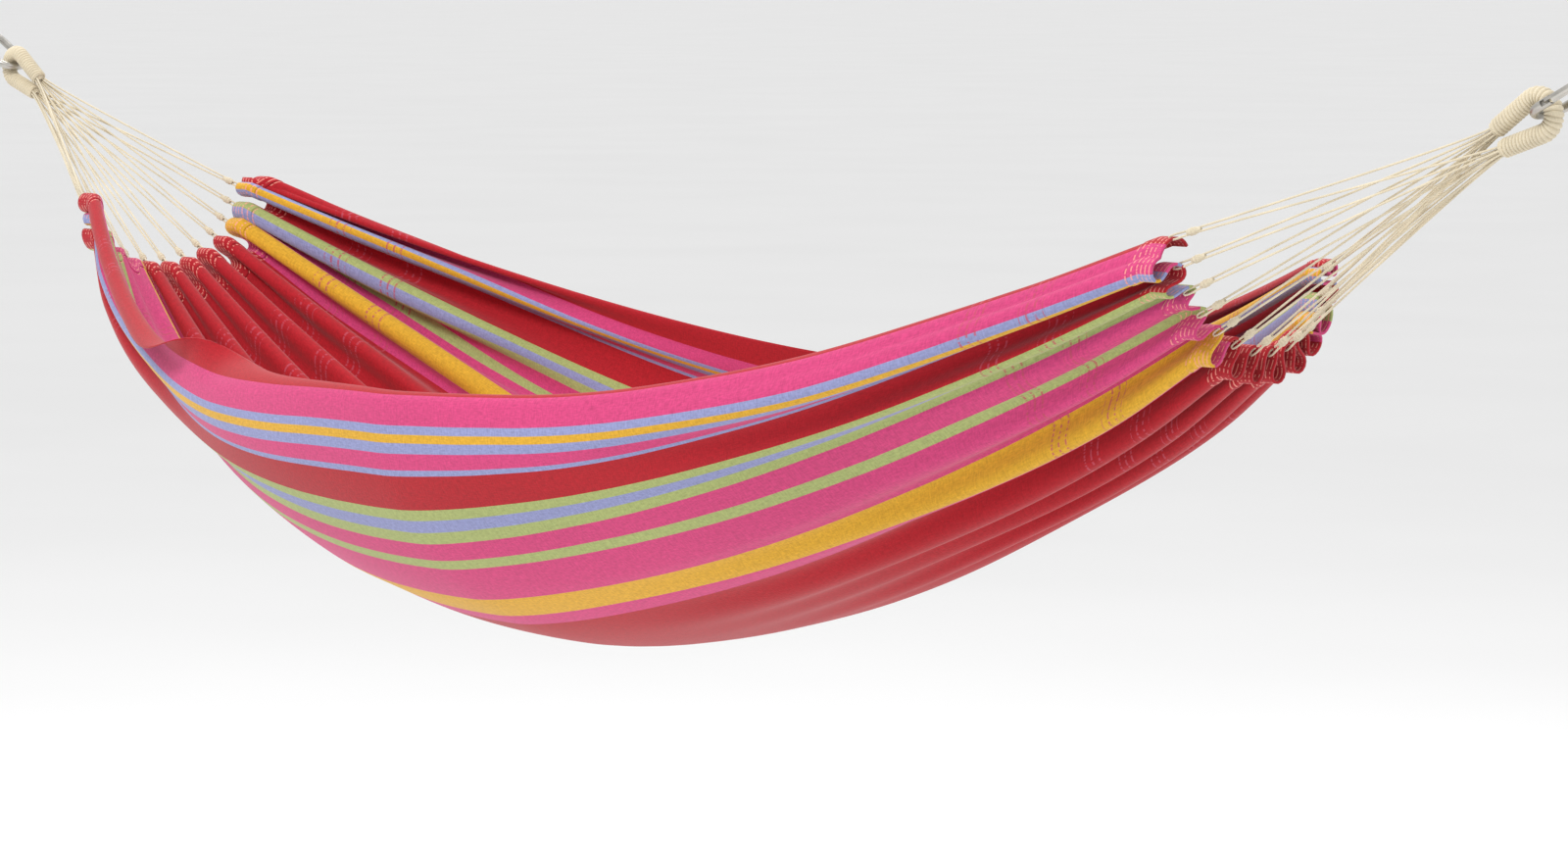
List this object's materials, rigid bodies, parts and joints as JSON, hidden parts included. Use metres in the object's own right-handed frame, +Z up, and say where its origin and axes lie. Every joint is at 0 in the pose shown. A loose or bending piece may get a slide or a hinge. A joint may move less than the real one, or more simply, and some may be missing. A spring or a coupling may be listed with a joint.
{
  "type": "cloth hammock",
  "caption": "Hanging hammock: a striped woven cloth bed gathered at both ends, fans of doubled cords, whipped rope eyes and sprung steel carabiners.",
  "frame": {"origin": "where the left anchor bears on the inside of the left carabiner's upper bow", "axes": "+X along the hammock from the left anchor to the right one, +Z up, -Y towards the side from which one gets in"},
  "size_m": [3.1052, 0.9316, 0.794],
  "materials": {
    "zinc_plated_steel": "zinc plated, satin",
    "gate_steel": "zinc plated, satin",
    "rivet_steel": "plain",
    "cotton_cord": "twisted natural cotton",
    "cord_knots": "twisted natural cotton",
    "eye_rope": "twisted natural cotton",
    "whipping_cord": "closely wound natural cotton",
    "hem_cotton": "striped plain weave, doubled and stitched",
    "striped_cotton": "striped plain weave"
  },
  "bodies": {
    "left_hook": {"left_carabiner": "zinc_plated_steel", "left_gate_pin": "rivet_steel", "left_gate_spring": "rivet_steel"},
    "left_gate": {"left_gate": "gate_steel"},
    "hammock": {"bed_cloth": "striped_cotton", "left_hem": "hem_cotton", "left_eye_core": "eye_rope", "left_eye_whipping": "rivet_steel", "left_knots": "cord_knots", "right_hem": "hem_cotton", "right_eye_core": "eye_rope", "right_eye_whipping": "rivet_steel", "right_knots": "cord_knots", "left_cord_01": "cotton_cord", "left_cord_02": "cotton_cord", "left_cord_03": "cotton_cord", "left_cord_04": "cotton_cord", "left_cord_05": "cotton_cord", "left_cord_06": "cotton_cord", "left_cord_07": "cotton_cord", "left_cord_08": "cotton_cord", "left_cord_09": "cotton_cord", "left_cord_10": "cotton_cord", "left_cord_11": "cotton_cord", "left_cord_12": "cotton_cord", "left_cord_13": "cotton_cord", "right_cord_01": "cotton_cord", "right_cord_02": "cotton_cord", "right_cord_03": "cotton_cord", "right_cord_04": "cotton_cord", "right_cord_05": "cotton_cord", "right_cord_06": "cotton_cord", "right_cord_07": "cotton_cord", "right_cord_08": "cotton_cord", "right_cord_09": "cotton_cord", "right_cord_10": "cotton_cord", "right_cord_11": "cotton_cord", "right_cord_12": "cotton_cord", "right_cord_13": "cotton_cord"},
    "right_hook": {"right_carabiner": "zinc_plated_steel", "right_gate_pin": "rivet_steel", "right_gate_spring": "rivet_steel"},
    "right_gate": {"right_gate": "gate_steel"}
  },
  "joints": [
    {"name": "hammock_swing", "type": "hinge", "parent": "left_hook", "child": "hammock", "pos_m": [0.09222, 0, -0.04699], "axis": [1, 0, 0], "range_deg": [-20, 20]},
    {"name": "left_gate_hinge", "type": "hinge", "parent": "left_hook", "child": "left_gate", "pos_m": [0.06193, -0.0245, -0.03155], "axis": [-0.454, 0, -0.891], "range_deg": [0, 28], "stiffness_Nm_per_rad": 0.35, "springref_deg": -13.18},
    {"name": "right_hook_turn", "type": "hinge", "parent": "hammock", "child": "right_hook", "pos_m": [2.99222, 0, -0.04699], "axis": [1, 0, 0], "range_deg": [-20, 20]},
    {"name": "right_gate_hinge", "type": "hinge", "parent": "right_hook", "child": "right_gate", "pos_m": [3.02251, -0.0245, -0.03155], "axis": [-0.454, 0, 0.891], "range_deg": [0, 28], "stiffness_Nm_per_rad": 0.35, "springref_deg": -13.18}
  ],
  "couplings": [
    {"joint": "right_hook_turn", "follows": "hammock_swing", "ratio": -1}
  ]
}
